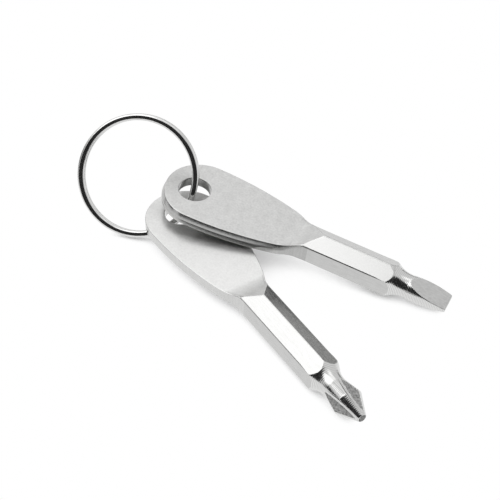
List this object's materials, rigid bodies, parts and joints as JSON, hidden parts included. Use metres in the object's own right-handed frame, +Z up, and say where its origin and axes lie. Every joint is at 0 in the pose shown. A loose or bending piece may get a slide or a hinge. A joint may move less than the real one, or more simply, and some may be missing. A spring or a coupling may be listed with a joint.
{
  "type": "pocket screwdriver",
  "caption": "Key-shaped slotted and cross-point screwdrivers with hexagon shanks, threaded through holes in their flat bows onto a split key ring.",
  "frame": {"origin": "bottom centre of the whole object's box, on the floor it lies on", "axes": "+Z up from the floor; +X towards the slotted driver's tip; the cross-point driver's tip is at -Y"},
  "size_m": [0.0728, 0.0664, 0.0208],
  "materials": {
    "satin_steel": "satin stainless steel, ground faces and turned tips",
    "bright_wire": "polished spring steel wire"
  },
  "bodies": {
    "ring": {"split_ring": "bright_wire"},
    "slotted": {"slotted_driver": "satin_steel"},
    "phillips": {"phillips_driver": "satin_steel"}
  },
  "joints": [
    {"name": "slotted_swing", "type": "hinge", "parent": "ring", "child": "slotted", "pos_m": [-0.01301, 0.02118, 0.00892], "axis": [0.1111, -0.0551, 0.9923], "range_deg": [-3, 160]},
    {"name": "phillips_swing", "type": "hinge", "parent": "ring", "child": "phillips", "pos_m": [-0.01571, 0.01865, 0.00487], "axis": [0.0134, -0.0205, 0.9997], "range_deg": [-100, 3]}
  ]
}
